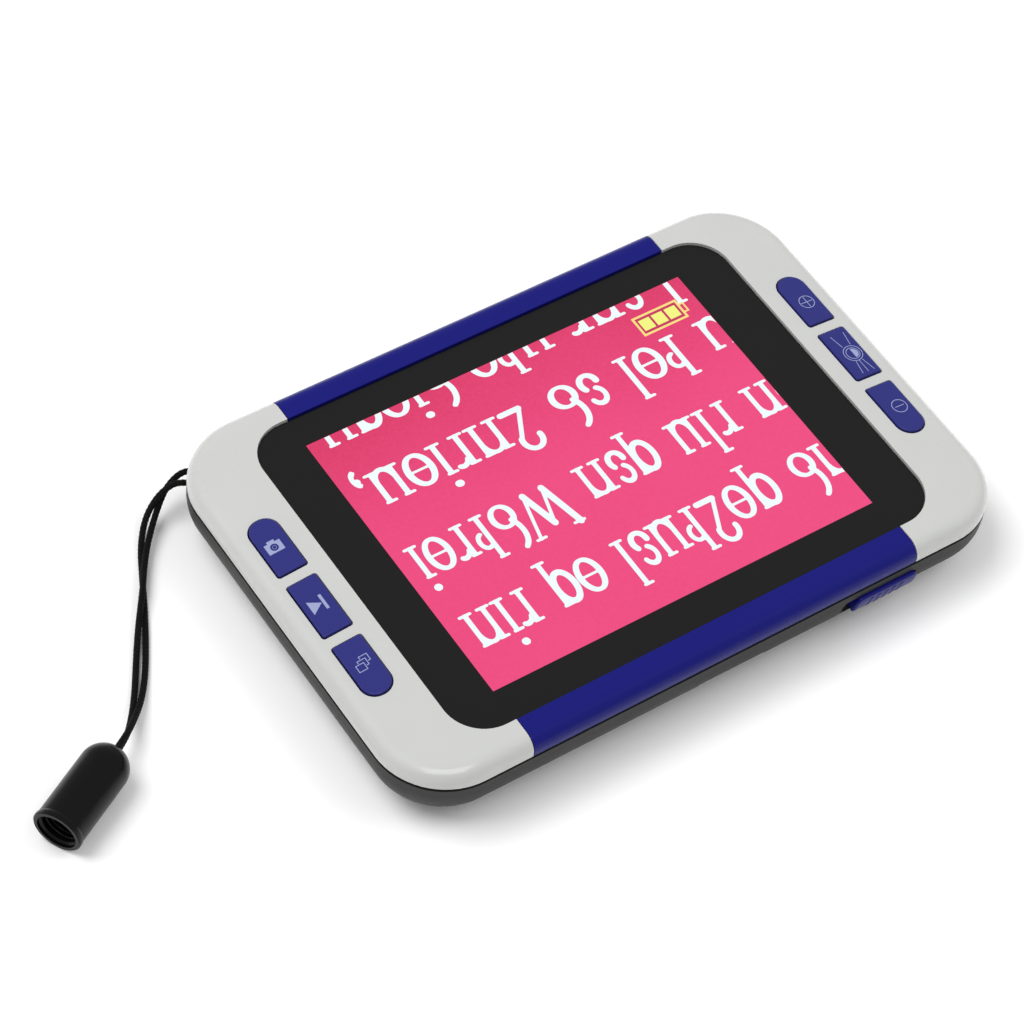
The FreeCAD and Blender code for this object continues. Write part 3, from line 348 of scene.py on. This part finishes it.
def surface(
    name,
    color,
    rough,
    coat=0.0,
    coat_rough=0.08,
    metallic=0.0,
    specular=0.5,
    mottle=0.0,
    mottle_scale=60.0,
    grain=0.0,
    grain_scale=2500.0,
    rough_wander=0.0,
    emission=None,
    alpha=1.0,
):
    """A surface with the small unevenness of the real thing in its colour, gloss and relief."""
    material = bpy.data.materials.new(name)
    material.use_nodes = True
    tree = material.node_tree
    shader = tree.nodes["Principled BSDF"]
    settings = {
        "Base Color": color,
        "Roughness": rough,
        "Metallic": metallic,
        "Specular IOR Level": specular,
        "Coat Weight": coat,
        "Coat Roughness": coat_rough,
        "Alpha": alpha,
    }
    if emission:
        settings["Emission Color"] = emission
        settings["Emission Strength"] = 1.0
    for socket, value in settings.items():
        shader.inputs[socket].default_value = value
    where = tree.nodes.new("ShaderNodeTexCoord").outputs["Object"]
    if mottle:
        cloud = add_node(tree, "ShaderNodeTexNoise", Scale=mottle_scale, Detail=4.0)
        tree.links.new(where, cloud.inputs["Vector"])
        ramp = tree.nodes.new("ShaderNodeValToRGB")
        low, high = ramp.color_ramp.elements
        low.position = 0.3
        high.position = 0.7
        low.color = (*[c * (1 - mottle) for c in color[:3]], 1)
        high.color = (*[min(c * (1 + mottle), 1) for c in color[:3]], 1)
        tree.links.new(cloud.outputs["Fac"], ramp.inputs["Fac"])
        tree.links.new(ramp.outputs["Color"], shader.inputs["Base Color"])
    if rough_wander:
        smudge = add_node(tree, "ShaderNodeTexNoise", Scale=45.0, Detail=5.0)
        tree.links.new(where, smudge.inputs["Vector"])
        low = max(rough - rough_wander, 0.02)
        high = rough + rough_wander
        spread = add_node(
            tree, "ShaderNodeMapRange", From_Min=0.3, From_Max=0.7, To_Min=low, To_Max=high
        )
        tree.links.new(smudge.outputs["Fac"], spread.inputs["Value"])
        tree.links.new(spread.outputs["Result"], shader.inputs["Roughness"])
    if grain:
        relief = add_node(tree, "ShaderNodeTexNoise", Scale=grain_scale, Detail=2.0)
        tree.links.new(where, relief.inputs["Vector"])
        bump = add_node(tree, "ShaderNodeBump", Strength=grain, Distance=0.0001)
        tree.links.new(relief.outputs["Fac"], bump.inputs["Height"])
        tree.links.new(bump.outputs["Normal"], shader.inputs["Normal"])
    return material


def paint(material, names):
    """Gives CAD nodes a material in every slot they have."""
    for name in names:
        for slot in nodes[name].material_slots:
            slot.material = material


PRINT_BLUE = linear(142, 150, 188)
PINK = linear(235, 66, 124)
PINK_DIM = linear(216, 46, 98)
PINK_BRIGHT = linear(240, 74, 132)
GLYPH = linear(238, 250, 252)

LOOKS = {
    "shell": dict(
        color=linear(188, 189, 187),
        rough=0.26,
        coat=0.5,
        coat_rough=0.07,
        specular=0.3,
        grain=0.05,
        grain_scale=900,
        rough_wander=0.05,
        mottle=0.012,
    ),
    "trim": dict(
        color=linear(20, 21, 108),
        rough=0.24,
        specular=0.14,
        grain=0.06,
        grain_scale=1200,
        rough_wander=0.06,
    ),
    "key": dict(
        color=linear(38, 40, 112),
        rough=0.34,
        specular=0.3,
        grain=0.08,
        grain_scale=2200,
        rough_wander=0.06,
    ),
    "body": dict(
        color=linear(30, 30, 29),
        rough=0.48,
        specular=0.3,
        grain=0.35,
        grain_scale=3200,
        rough_wander=0.05,
        mottle=0.04,
    ),
    "mask": dict(color=linear(20, 20, 20), rough=0.3, specular=0.2, rough_wander=0.04),
    "cap": dict(
        color=linear(10, 10, 10), rough=0.26, specular=0.16, grain=0.05, rough_wander=0.06
    ),
    "cord": dict(
        color=linear(12, 12, 13),
        rough=0.7,
        specular=0.15,
        grain=0.4,
        grain_scale=6000,
        mottle=0.25,
        mottle_scale=1500,
    ),
    "black": dict(color=linear(16, 16, 16), rough=0.4, grain=0.1, rough_wander=0.05),
    "rubber": dict(color=linear(34, 34, 34), rough=0.8, grain=0.3, grain_scale=4000),
    "steel": dict(
        color=linear(190, 190, 188), rough=0.28, metallic=1.0, grain=0.1, rough_wander=0.08
    ),
    "dark_steel": dict(
        color=linear(70, 70, 72), rough=0.35, metallic=1.0, grain=0.1, rough_wander=0.08
    ),
    "print": dict(color=PRINT_BLUE, rough=0.45, mottle=0.03, mottle_scale=1500),
    "lamp": dict(color=linear(245, 225, 140), rough=0.25, coat=0.6),
    "glass": dict(color=linear(60, 66, 70), rough=0.06, alpha=0.14),
    "board": dict(color=linear(18, 92, 52), rough=0.45, mottle=0.1, mottle_scale=400),
}
PAINTED = {
    "shell": ("front_shell",),
    "trim": ("trim_front", "trim_rear", "power_slider"),
    "key": (
        "snapshot_key",
        "playback_key",
        "mode_key",
        "zoom_in_key",
        "light_key",
        "zoom_out_key",
    ),
    "body": ("rear_shell",),
    "mask": ("display_lens",),
    "cap": ("lanyard_cap",),
    "cord": ("lanyard_bight", "lanyard_knot"),
    "rubber": ("rubber_feet",),
    "steel": ("usb_socket",),
    "dark_steel": ("case_screws", "lanyard_post"),
    "black": ("video_jack", "lens_holder", "lens_barrel", "switch_lever"),
    "lamp": ("leds",),
    "glass": ("camera_window", "camera_lens"),
    "board": ("led_board", "camera_board", "main_board"),
}
materials = {name: surface(name, **looks) for name, looks in LOOKS.items()}
for look, pieces in PAINTED.items():
    paint(materials[look], pieces)
for piece in [*strands.values(), *braids.values()]:
    piece.data.materials.append(materials["cord"])
thread.data.materials.append(materials["cap"])

# The lit picture: a page with large print, seen upside down, and the battery mark

LENS_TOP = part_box("display_lens")[1].z
PICTURE = (-51.4, -37.85, 50.2, 38.45)
PRINT_STEP = 0.25


def length_to(x, y, x0, y0, x1, y1):
    """How far a point is from a line between two points."""
    dx = x1 - x0
    dy = y1 - y0
    share = max(0.0, min(1.0, ((x - x0) * dx + (y - y0) * dy) / (dx * dx + dy * dy)))
    return math.hypot(x - x0 - share * dx, y - y0 - share * dy)


def stroke(x0, y0, x1, y1, half):
    return lambda x, y: length_to(x, y, x0, y0, x1, y1) - half


def bowl(cx, cy, rx, ry, thick, thin, start=0, end=360):
    """A round or part-round stroke that is thick at its sides and thin above and below."""
    middle = math.radians((start + end) / 2)
    spread = math.radians(end - start) / 2

    def away(x, y):
        u = (x - cx) / rx
        v = (y - cy) / ry
        size = math.hypot(u, v)
        angle = math.atan2(v, u)
        off = abs((angle - middle + math.pi) % math.tau - math.pi)
        half = thin + (thick - thin) * abs(math.cos(angle)) ** 1.5
        distance = abs(size - 1) * min(rx, ry) - half
        if off > spread:
            turn = middle + spread if (angle - middle) % math.tau < math.pi else middle - spread
            half = thin + (thick - thin) * abs(math.cos(turn)) ** 1.5
            return math.hypot(x - cx - rx * math.cos(turn), y - cy - ry * math.sin(turn)) - half
        return distance

    return away


def stem(x, low, high, half=0.075):
    """An upright with a short foot at each end."""
    return [
        stroke(x, low + 0.06, x, high - 0.06, half),
        stroke(x - 0.17, low + 0.03, x + 0.17, low + 0.03, 0.04),
        stroke(x - 0.17, high - 0.03, x + 0.08, high - 0.03, 0.04),
    ]


# Made-up signs of large print, drawn the right way up in units of the height of a small letter.
# Each is its width and its strokes.
SIGNS = {
    "hook": (
        0.68,
        [
            bowl(0.3, 0.72, 0.2, 0.25, 0.07, 0.06, 20, 250),
            bowl(0.3, 0.28, 0.22, 0.25, 0.09, 0.06, 180, 400),
        ],
    ),
    "eye": (0.8, [bowl(0.4, 0.5, 0.31, 0.46, 0.09, 0.04), stroke(0.16, 0.5, 0.62, 0.5, 0.035)]),
    "gate": (
        0.98,
        [
            *stem(0.22, 0, 1),
            *stem(0.76, 0, 1),
            bowl(0.49, 0.62, 0.26, 0.34, 0.07, 0.045, 10, 170),
        ],
    ),
    "cup": (
        0.96,
        [
            *stem(0.22, 0, 1),
            bowl(0.48, 0.38, 0.26, 0.36, 0.08, 0.05, 190, 350),
            *stem(0.74, 0, 1),
        ],
    ),
    "mast": (0.46, stem(0.23, 0, 1.42)),
    "flag": (
        0.66,
        [*stem(0.24, 0, 1.36), bowl(0.4, 0.74, 0.17, 0.22, 0.07, 0.045, -90, 120)],
    ),
    "drop": (0.44, [*stem(0.22, 0, 1), stroke(0.2, 1.33, 0.24, 1.33, 0.1)]),
    "loop": (0.88, [*stem(0.68, -0.38, 1), bowl(0.38, 0.5, 0.27, 0.44, 0.09, 0.05)]),
    "bend": (0.66, [*stem(0.22, 0, 1), bowl(0.5, 0.7, 0.2, 0.24, 0.06, 0.06, 60, 160)]),
    "peak": (
        1.5,
        [
            stroke(0.1, 1.36, 0.44, 0.08, 0.1),
            stroke(0.44, 0.08, 0.76, 1.1, 0.05),
            stroke(0.76, 1.1, 1.06, 0.08, 0.1),
            stroke(1.06, 0.08, 1.4, 1.36, 0.05),
            stroke(-0.02, 1.36, 0.3, 1.36, 0.04),
            stroke(1.24, 1.36, 1.52, 1.36, 0.04),
        ],
    ),
    "knot": (
        0.86,
        [
            bowl(0.42, 0.34, 0.3, 0.32, 0.09, 0.05),
            bowl(0.5, 0.9, 0.36, 0.5, 0.08, 0.05, 110, 230),
        ],
    ),
    "wave": (
        0.84,
        [
            bowl(0.4, 1.05, 0.26, 0.3, 0.08, 0.06, -20, 190),
            stroke(0.6, 0.9, 0.18, 0.1, 0.06),
            stroke(0.18, 0.08, 0.72, 0.08, 0.08),
        ],
    ),
    "tick": (
        0.36,
        [bowl(0.14, 0.0, 0.12, 0.2, 0.06, 0.05, -90, 90), stroke(0.18, 0.08, 0.2, 0.1, 0.09)],
    ),
    "space": (0.55, []),
}

# The lines of print from the top of the picture: the base line's height and the size of a small
# letter, in millimetres, then where the line starts and ends and its signs in reading order.
LINES = [
    (
        44.2,
        9.0,
        48.5,
        -48.0,
        "mast space hook gate bend space cup flag eye space knot drop eye loop cup",
    ),
    (
        24.8,
        9.2,
        53.0,
        -48.6,
        "cup space flag eye mast space hook knot space wave gate bend drop eye cup tick",
    ),
    (
        3.2,
        9.2,
        56.5,
        -48.5,
        "eye gate space bend mast cup space loop hook gate space peak knot flag bend eye drop",
    ),
    (
        -18.0,
        9.4,
        54.0,
        -47.8,
        "gate knot space loop eye wave flag cup hook mast space eye loop space bend drop gate",
    ),
]


def print_signs():
    """Every stroke of the page: where its sign starts, the sign's scales and its width."""
    placed = []
    for base, size, start, end, words in LINES:
        x = start
        spread = (start - end) / sum(SIGNS[word][0] for word in words.split())
        for word in words.split():
            width, strokes = SIGNS[word]
            for away in strokes:
                placed.append((x, base, size, spread, width, away))
            x -= width * spread
    return placed


def field(width_count, height_count, step):
    """For each grid point of the picture, how far it is outside the print, in millimetres."""
    left, low = PICTURE[:2]
    values = [[1.0] * (height_count + 1) for _ in range(width_count + 1)]
    for x0, base, size, spread, width, away in print_signs():
        near = x0 - (width + 0.25) * spread
        far = x0 + 0.25 * spread
        first = max(0, int((near - left) / step))
        last = min(width_count, int((far - left) / step) + 1)
        bottom = max(0, int((base - 1.6 * size - low) / step))
        upper = min(height_count, int((base + 0.6 * size - low) / step) + 1)
        for i in range(first, last + 1):
            u = (x0 - (left + i * step)) / spread
            for j in range(bottom, upper + 1):
                v = (base - (low + j * step)) / size
                distance = away(u, v) * min(size, spread)
                if distance < values[i][j]:
                    values[i][j] = distance
    return values


def filled_print(step):
    """The print as one flat mesh whose edges follow the strokes."""
    left, low, right, top = PICTURE
    width_count = int(round((right - left) / step))
    height_count = int(round((top - low) / step))
    values = field(width_count, height_count, step)
    verts = []
    known = {}
    faces = []

    def corner(i, j):
        key = (i, j)
        if key not in known:
            known[key] = len(verts)
            verts.append(Vector((left + i * step, low + j * step, 0)))
        return known[key]

    def crossing(i0, j0, i1, j1):
        key = (min((i0, j0), (i1, j1)), max((i0, j0), (i1, j1)))
        if key not in known:
            a = values[i0][j0]
            b = values[i1][j1]
            share = min(max(a / (a - b), 0.02), 0.98)
            known[key] = len(verts)
            x = left + (i0 + (i1 - i0) * share) * step
            y = low + (j0 + (j1 - j0) * share) * step
            verts.append(Vector((x, y, 0)))
        return known[key]

    for i in range(width_count):
        for j in range(height_count):
            ring = [(i, j), (i + 1, j), (i + 1, j + 1), (i, j + 1)]
            inside = [values[a][b] < 0 for a, b in ring]
            if not any(inside):
                continue
            face = []
            for number in range(4):
                here = ring[number]
                there = ring[(number + 1) % 4]
                if inside[number]:
                    face.append(corner(*here))
                if inside[number] != inside[(number + 1) % 4]:
                    face.append(crossing(*here, *there))
            if len(face) > 2:
                faces.append(tuple(face))
    return verts, faces


def flat_piece(name, shapes, height, material):
    """Flat shapes, in millimetres on the screen, at a height above the window."""
    piece = join(name, shapes)
    for vertex in piece.data.vertices:
        vertex.co = Vector((vertex.co.x * MM, vertex.co.y * MM, LENS_TOP + height))
    piece.data.materials.append(material)
    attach(piece, "case")


def rectangle(x0, y0, x1, y1):
    corners = [Vector((x0, y0, 0)), Vector((x1, y0, 0)), Vector((x1, y1, 0)), Vector((x0, y1, 0))]
    return corners, [(0, 1, 2, 3)]


def outline(x0, y0, x1, y1, width):
    """The outline of a rectangle, as four flat bars."""
    return [
        rectangle(x0, y0, x1, y0 + width),
        rectangle(x0, y1 - width, x1, y1),
        rectangle(x0, y0 + width, x0 + width, y1 - width),
        rectangle(x1 - width, y0 + width, x1, y1 - width),
    ]


def lit(name, color):
    """Something shown on the screen: it gives its own light under a smooth window."""
    dark = (0.01, 0.01, 0.01, 1)
    return surface(name, dark, 0.25, specular=0.25, emission=color)


PAGE_BRIGHT_AT = 6.0 * MM
PAGE_DIM_AT = 38.0 * MM
PAGE_BRIGHT = 0.42
PAGE_DIM = -0.1
# The unevenness of the page: each cloud's scale, detail and weight
PAGE_CLOUDS = ((22.0, 3.0, 0.4), (1300.0, 2.0, 0.35))


def lit_page():
    """The page: uneven, as paper seen through a camera is, and dimmer towards the far edge."""
    material = lit("lit_page", PINK)
    tree = material.node_tree
    where = tree.nodes.new("ShaderNodeTexCoord").outputs["Object"]
    parts = tree.nodes.new("ShaderNodeSeparateXYZ")
    tree.links.new(where, parts.inputs["Vector"])
    fall = add_node(
        tree,
        "ShaderNodeMapRange",
        From_Min=PAGE_BRIGHT_AT,
        From_Max=PAGE_DIM_AT,
        To_Min=PAGE_BRIGHT,
        To_Max=PAGE_DIM,
    )
    tree.links.new(parts.outputs["Y"], fall.inputs["Value"])
    level = fall.outputs["Result"]
    for scale, detail, weight in PAGE_CLOUDS:
        noise = add_node(tree, "ShaderNodeTexNoise", Scale=scale, Detail=detail)
        tree.links.new(where, noise.inputs["Vector"])
        total = tree.nodes.new("ShaderNodeMath")
        total.operation = "MULTIPLY_ADD"
        total.inputs[1].default_value = weight
        tree.links.new(noise.outputs["Fac"], total.inputs[0])
        tree.links.new(level, total.inputs[2])
        level = total.outputs["Value"]
    ramp = tree.nodes.new("ShaderNodeValToRGB")
    low, high = ramp.color_ramp.elements
    low.position = 0.2
    high.position = 1.0
    low.color = PINK_DIM
    high.color = PINK_BRIGHT
    ramp.color_ramp.elements.new(0.7).color = PINK
    tree.links.new(level, ramp.inputs["Fac"])
    shader = tree.nodes["Principled BSDF"]
    tree.links.new(ramp.outputs["Color"], shader.inputs["Emission Color"])
    return material


page = lit_page()
ink = lit("lit_print", GLYPH)
mark_line = lit("lit_mark_line", linear(250, 222, 130))
mark_fill = lit("lit_mark_fill", linear(242, 244, 128))
mark_back = lit("lit_mark_back", linear(196, 44, 92))

print_step = PRINT_STEP
flat_piece("picture", [rectangle(*PICTURE)], 0.02 * MM, page)
flat_piece("picture_print", [filled_print(print_step)], 0.03 * MM, ink)


BATTERY = (33.1, 27.2, 45.6, 33.1)
BATTERY_LINE = 0.6
BATTERY_NUB = 1.2
BATTERY_NUB_LINE = 0.45
BATTERY_NUB_INSET = 1.5
CELL_WIDTH = 3.0
CELL_PITCH = 3.6
CELL_SIDE_GAP = 1.1
CELL_END_GAP = 1.3


def battery_mark():
    """The battery sign near the picture's top right corner."""
    left, low, right, top = BATTERY
    nub_low = low + BATTERY_NUB_INSET
    nub_top = top - BATTERY_NUB_INSET
    nub_end = right + BATTERY_NUB
    line = BATTERY_NUB_LINE
    lines = [
        *outline(left, low, right, top, BATTERY_LINE),
        rectangle(right, nub_low, nub_end, nub_low + line),
        rectangle(right, nub_top - line, nub_end, nub_top),
        rectangle(nub_end - line, nub_low + line, nub_end, nub_top - line),
    ]
    cells = []
    for cell in range(3):
        start = left + CELL_SIDE_GAP + cell * CELL_PITCH
        cells.append(rectangle(start, low + CELL_END_GAP, start + CELL_WIDTH, top - CELL_END_GAP))
    flat_piece("battery_mark_back", [rectangle(*BATTERY)], 0.035 * MM, mark_back)
    flat_piece("battery_mark_line", lines, 0.04 * MM, mark_line)
    flat_piece("battery_mark_cells", cells, 0.04 * MM, mark_fill)


battery_mark()

# The signs printed on the keys

KEY_TILT = math.radians(5.5)
KEY_SPOT = Vector((71.73, -0.4, 18.9925))
KEY_PROUD = 0.5
PRINT_LIFT = 0.02
THIN = 0.19


def turned(cx, cy, radius, angle):
    """A point at an angle on a circle."""
    return Vector((cx + radius * math.cos(angle), cy + radius * math.sin(angle), 0))


def half_disc(cx, cy, radius, sides=40):
    """The right half of a disc."""
    angles = [math.pi * (n / sides - 0.5) for n in range(sides + 1)]
    return [turned(cx, cy, radius, angle) for angle in angles], [tuple(range(sides + 1))]


def ring(cx, cy, outer, width, sides=40):
    """A flat ring of some width inside an outer radius."""
    verts = []
    for n in range(sides):
        for radius in (outer, outer - width):
            verts.append(turned(cx, cy, radius, math.tau * n / sides))
    faces = []
    for n in range(sides):
        after = (n + 1) % sides
        faces.append((2 * n, 2 * after, 2 * after + 1, 2 * n + 1))
    return verts, faces


def bar(x0, y0, x1, y1, width):
    """A straight line of some width between two points."""
    along = Vector((x1 - x0, y1 - y0, 0)).normalized()
    side = Vector((-along.y, along.x, 0)) * (width / 2)
    start = Vector((x0, y0, 0))
    end = Vector((x1, y1, 0))
    return [start - side, end - side, end + side, start + side], [(0, 1, 2, 3)]


def holed(x0, y0, x1, y1, cx, cy, radius, sides=40):
    """A rectangle with a round hole in it."""
    corners = [math.atan2(y - cy, x - cx) for x in (x0, x1) for y in (y0, y1)]
    turns = sorted([math.tau * n / sides - math.pi for n in range(sides)] + corners)
    verts = []
    for turn in turns:
        u = math.cos(turn)
        v = math.sin(turn)
        out_x = ((x1 if u > 0 else x0) - cx) / u if abs(u) > 1e-9 else math.inf
        out_y = ((y1 if v > 0 else y0) - cy) / v if abs(v) > 1e-9 else math.inf
        for reach in (radius, min(out_x, out_y)):
            verts.append(Vector((cx + reach * u, cy + reach * v, 0)))
    faces = []
    for n in range(len(turns)):
        after = (n + 1) % len(turns)
        faces.append((2 * n, 2 * n + 1, 2 * after + 1, 2 * after))
    return verts, faces


def key_sign(key, side, shapes):
    """Prints flat shapes, placed in millimetres from above, on the tilted top of a key."""
    piece = join(f"{key}_sign", shapes)
    across = Vector((math.cos(KEY_TILT), 0, -side * math.sin(KEY_TILT)))
    out = Vector((side * math.sin(KEY_TILT), 0, math.cos(KEY_TILT)))
    spot = Vector((side * KEY_SPOT.x, KEY_SPOT.y, KEY_SPOT.z))
    for vertex in piece.data.vertices:
        u = (vertex.co.x - spot.x) / math.cos(KEY_TILT)
        v = vertex.co.y - spot.y
        place = spot + across * u + Vector((0, v, 0)) + out * (KEY_PROUD + PRINT_LIFT)
        vertex.co = place * MM
    piece.data.materials.append(materials["print"])
    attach(piece, key.replace("_key", "_press"))


def snapshot_sign():
    """A still camera: its body with a round lens, and the viewfinder above."""
    lens = (-72.1, 17.6)
    return [
        holed(-74.05, 16.2, -70.15, 19.0, *lens, 0.95),
        ring(*lens, 0.5, 0.08),
        rectangle(-73.1, 19.0, -71.3, 19.6),
    ]


def playback_sign():
    """A triangle that points to an upright bar."""
    corners = [Vector((-73.9, -2.1, 0)), Vector((-71.0, -0.2, 0)), Vector((-73.9, 1.6, 0))]
    return [(corners, [(0, 1, 2)]), rectangle(-70.85, -2.2, -70.15, 1.9)]


PAGE_LONG = 2.15
PAGE_HIGH = 1.95
PAGE_STEP = 0.85
PAGE_BACK = 0.7


def mode_sign():
    """Three pages, each behind the one before it and showing only its outer edges."""
    shapes = []
    for number in range(3):
        x = -73.55 + number * PAGE_STEP
        y = -19.85 + number * PAGE_STEP
        right = x + PAGE_LONG
        top = y + PAGE_HIGH
        if number == 0:
            shapes += outline(x, y, right, top, THIN)
        else:
            shapes += [
                rectangle(x, top - THIN, right, top),
                rectangle(right - THIN, y, right, top - THIN),
                rectangle(x, top - PAGE_BACK, x + THIN, top - THIN),
                rectangle(right - PAGE_BACK, y, right - THIN, y + THIN),
            ]
    return shapes


ZOOM_RING = 1.95


def zoom_sign(cx, cy, strokes):
    """A thin ring with straight strokes in it."""
    shapes = [ring(cx, cy, ZOOM_RING, THIN)]
    for x0, y0, x1, y1 in strokes:
        shapes.append(bar(cx + x0, cy + y0, cx + x1, cy + y1, THIN))
    return shapes


RAY_WIDTH = 0.17


def light_sign():
    """A lamp: two rings and a half disc, with two rays above and three below."""
    lamp = (72.2, -0.9)
    shapes = [ring(*lamp, 2.4, 0.18), ring(*lamp, 1.75, 0.18), half_disc(*lamp, 1.35)]
    for x0, x1 in ((71.0, 70.3), (73.3, 74.0)):
        shapes.append(bar(x0, 1.6, x1, 5.4, RAY_WIDTH))
    for x0, x1 in ((71.3, 70.6), (72.2, 72.2), (73.1, 73.9)):
        shapes.append(bar(x0, -3.3, x1, -7.0, RAY_WIDTH))
    return shapes


plus = [(-1.55, 0, 1.55, 0), (0, -1.55, 0, 1.55)]
minus = [(-1.25, 0, 1.25, 0)]
key_sign("snapshot_key", -1, snapshot_sign())
key_sign("playback_key", -1, playback_sign())
key_sign("mode_key", -1, mode_sign())
key_sign("zoom_in_key", 1, zoom_sign(72.0, 17.0, plus))
key_sign("zoom_out_key", 1, zoom_sign(72.2, -18.8, minus))
key_sign("light_key", 1, light_sign())

# The floor and the light


FLOOR_REACH = 4.0
FLOOR_DROP = 0.05 * MM
SKY = 0.55


def stage():
    """A white floor just under the soles, in an evenly lit white room."""
    corners = ((-1, -1), (1, -1), (1, 1), (-1, 1))
    floor = add_mesh(
        "floor",
        [Vector((x * FLOOR_REACH, y * FLOOR_REACH, -FLOOR_DROP)) for x, y in corners],
        [(0, 1, 2, 3)],
    )
    floor.data.materials.append(surface("paper", linear(250, 250, 250), 0.8, specular=0.1))
    world = bpy.data.worlds.new("studio")
    bpy.context.scene.world = world
    world.use_nodes = True
    background = world.node_tree.nodes["Background"]
    background.inputs["Color"].default_value = (1, 1, 1, 1)
    background.inputs["Strength"].default_value = SKY


def soft_light(name, place, size, power):
    """A panel that faces the object. Its size is across and upright, in metres."""
    data = bpy.data.lights.new(name, "AREA")
    data.shape = "RECTANGLE"
    data.size, data.size_y = size
    data.energy = power
    light = bpy.data.objects.new(name, data)
    bpy.context.scene.collection.objects.link(light)
    light.location = place
    light.rotation_euler = (-Vector(place)).to_track_quat("-Z", "Y").to_euler()
    light.visible_camera = False
    return light


stage()
for lamp in (
    soft_light("key_light", (-0.7, 0.6, 1.5), (1.2, 1.2), 22.0),
    soft_light("fill_light", (1.0, -0.5, 1.2), (1.1, 1.1), 9.0),
):
    lamp.visible_glossy = False
soft_light("sheen", (-0.33, -0.45, 1.2), (0.85, 0.75), 6.0).visible_diffuse = False
